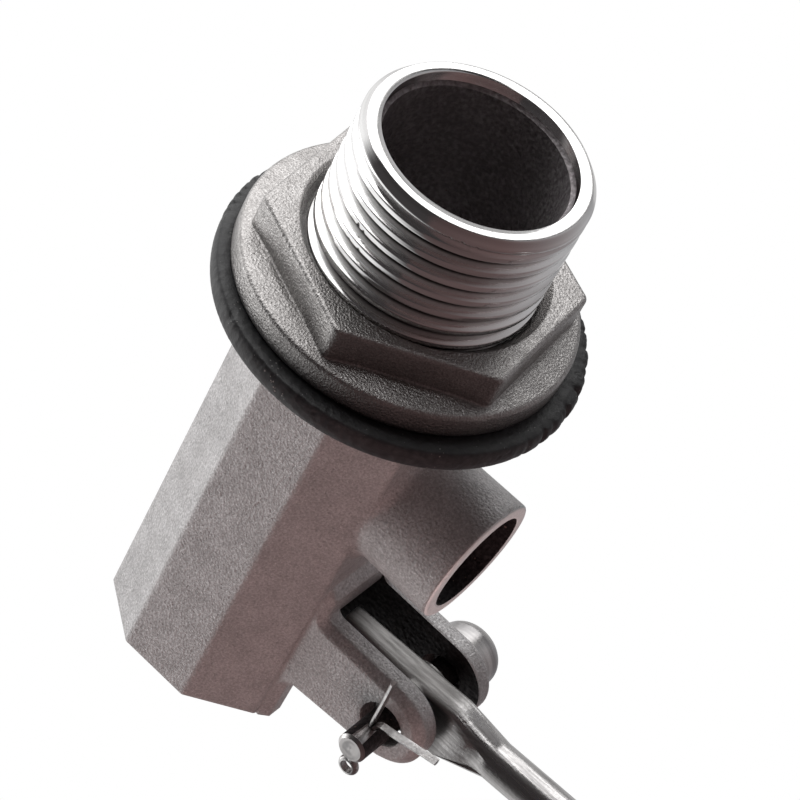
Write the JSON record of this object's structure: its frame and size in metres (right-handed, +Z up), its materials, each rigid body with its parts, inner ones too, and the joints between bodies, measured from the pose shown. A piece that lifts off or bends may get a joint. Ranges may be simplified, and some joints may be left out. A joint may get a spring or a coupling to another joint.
{
  "type": "float valve",
  "caption": "Tank float valve: threaded inlet with flanged lock nut and rubber washer, cast octagonal body, side outlet, and a hinged rod with a ball float that drives the piston.",
  "frame": {"origin": "on the inlet thread's axis, in the shoulder plane where the wall washer seats on the body", "axes": "+X along the body axis into the tank, away from the threaded inlet; +Z up, so the outlet points to -Z; +Y towards the split pin"},
  "size_m": [0.0799, 0.08, 0.2922],
  "materials": {
    "cast_steel": "investment-cast stainless steel, blasted to an even grain",
    "turned_steel": "machined stainless steel with fine turning marks",
    "rod_steel": "drawn stainless steel rod, satin",
    "ball_steel": "polished pressed stainless steel sheet",
    "black_rubber": "matt moulded rubber"
  },
  "bodies": {
    "valve": {"valve_body": "cast_steel", "seat_nozzle": "turned_steel", "seat_ring": "black_rubber", "lock_nut": "cast_steel", "wall_washer": "black_rubber", "clevis_pin": "turned_steel", "split_pin": "rod_steel"},
    "piston": {"piston": "turned_steel", "piston_cap": "turned_steel", "seal_disc": "black_rubber"},
    "lever": {"float_lever": "rod_steel", "rod_nut": "turned_steel", "rod_washer": "turned_steel", "float_boss": "turned_steel", "float_shell_upper": "ball_steel", "float_shell_lower": "ball_steel", "float_backing_ring": "rod_steel"}
  },
  "joints": [
    {"name": "lever_swing", "type": "hinge", "parent": "valve", "child": "lever", "pos_m": [0.0343, 0, -0.0202], "axis": [0, -1, 0], "range_deg": [0, 35]},
    {"name": "piston_slide", "type": "slide", "parent": "valve", "child": "piston", "axis": [-1, 0, 0], "range_m": [0, 0.00982]}
  ],
  "couplings": [
    {"joint": "piston_slide", "follows": "lever_swing", "m_per_rad": 0.016066}
  ]
}
